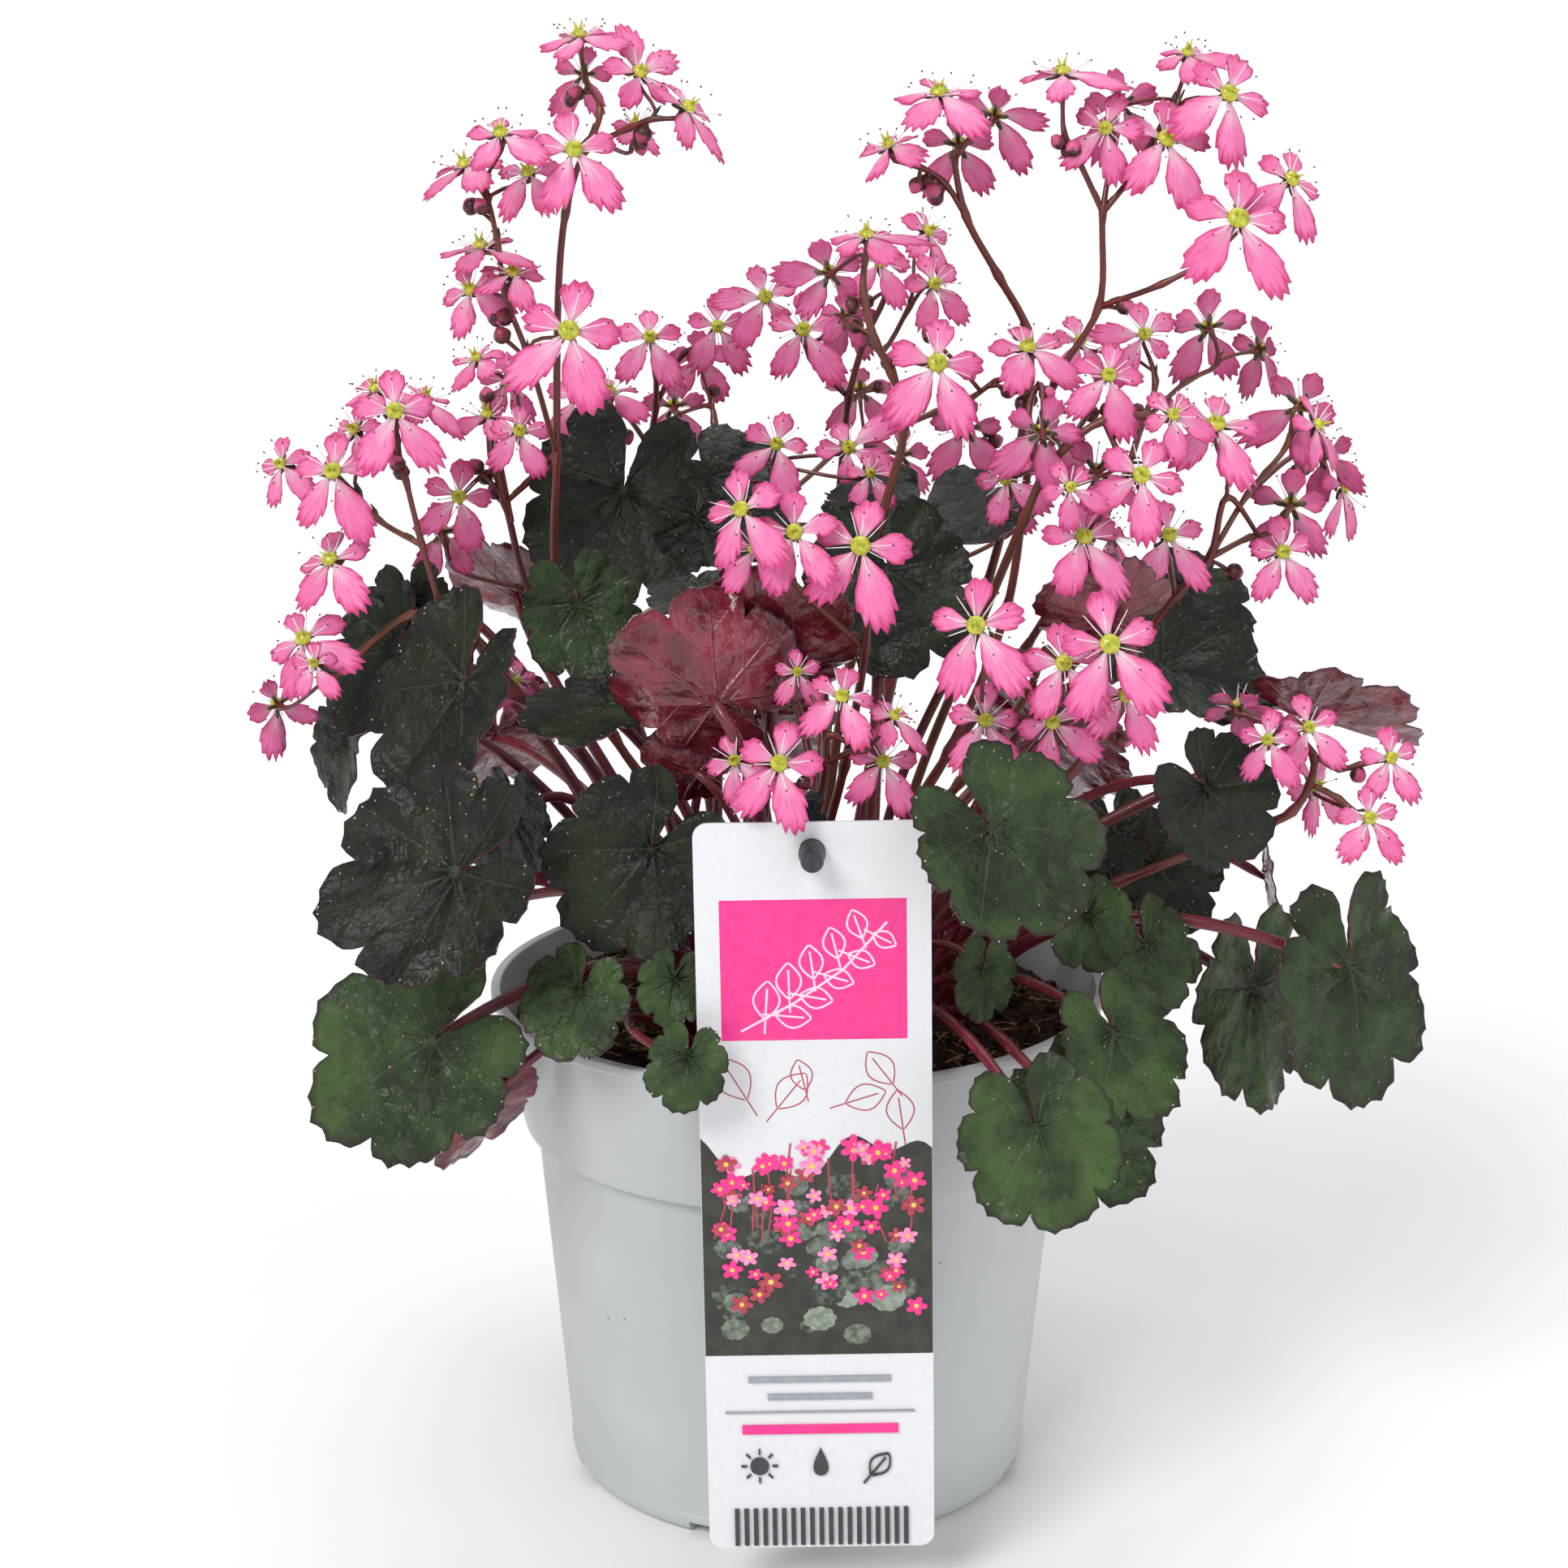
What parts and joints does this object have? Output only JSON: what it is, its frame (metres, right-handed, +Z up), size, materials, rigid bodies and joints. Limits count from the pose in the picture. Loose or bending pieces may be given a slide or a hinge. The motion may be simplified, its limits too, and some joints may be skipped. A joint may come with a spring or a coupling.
{
  "type": "potted saxifrage",
  "caption": "Tapered nursery pot with a rim band, filled with soil, holding a clump of round lobed dark leaves, branched sprays of pink flowers and a hanging plant card.",
  "frame": {"origin": "centre of the underside of the pot, on the surface that it stands on", "axes": "+Z up along the pot's axis; the label card is on the -Y side; +X is to the right of a viewer who faces the card"},
  "size_m": [0.2594, 0.2204, 0.326],
  "materials": {
    "pot": "satin light grey moulded plastic",
    "soil": null,
    "card": "smooth printed plastic card",
    "stake": "dark grey moulded plastic",
    "leaf": null,
    "flower": null
  },
  "bodies": {
    "root": {"pot": "pot", "soil": "soil", "label_card": "card", "label_stake": "stake", "leaf_low_left": "leaf", "leaf_low_left_under": "leaf", "leaf_left_bowl": "leaf", "leaf_left_shoulder": "leaf", "leaf_left_back_high": "leaf", "leaf_left_back": "leaf", "leaf_left_hanging": "leaf", "leaf_left_red": "leaf", "leaf_crown_left": "leaf", "leaf_crown_back": "leaf", "leaf_green_cup": "leaf", "leaf_green_flat": "leaf", "leaf_red_front": "leaf", "leaf_red_right": "leaf", "leaf_red_young": "leaf", "leaf_mid_dark": "leaf", "leaf_crown_right": "leaf", "leaves_mid_left": "leaf", "leaf_right_red": "leaf", "leaf_right_back": "leaf", "leaf_right_dark": "leaf", "leaf_right_fold": "leaf", "leaf_right_wing": "leaf", "leaf_right_veined": "leaf", "leaf_front_right": "leaf", "leaves_young_right": "leaf", "leaf_right_small": "leaf", "leaf_rim_right": "leaf", "leaf_pot_front": "leaf", "leaf_pot_behind": "leaf", "leaves_shade_right": "leaf", "leaf_hanging_right": "leaf", "leaf_far_right": "leaf", "leaf_edge_right": "leaf", "leaf_left_low_dark": "leaf", "leaves_rim_left": "leaf", "leaf_narrow_left": "leaf", "leaves_back_left": "leaf", "leaves_back": "leaf", "leaves_back_right": "leaf", "spray_top_left": "flower", "spray_left": "flower", "spray_left_back": "flower", "spray_mid_left_back": "flower", "spray_mid_back": "flower", "spray_mid": "flower", "spray_top_mid": "flower", "spray_top_right": "flower", "spray_right_mid": "flower", "spray_right": "flower", "spray_right_back": "flower", "spray_front_right": "flower", "spray_front": "flower", "spray_front_low": "flower", "spray_low_right": "flower", "spray_far_back": "flower"}
  },
  "joints": []
}
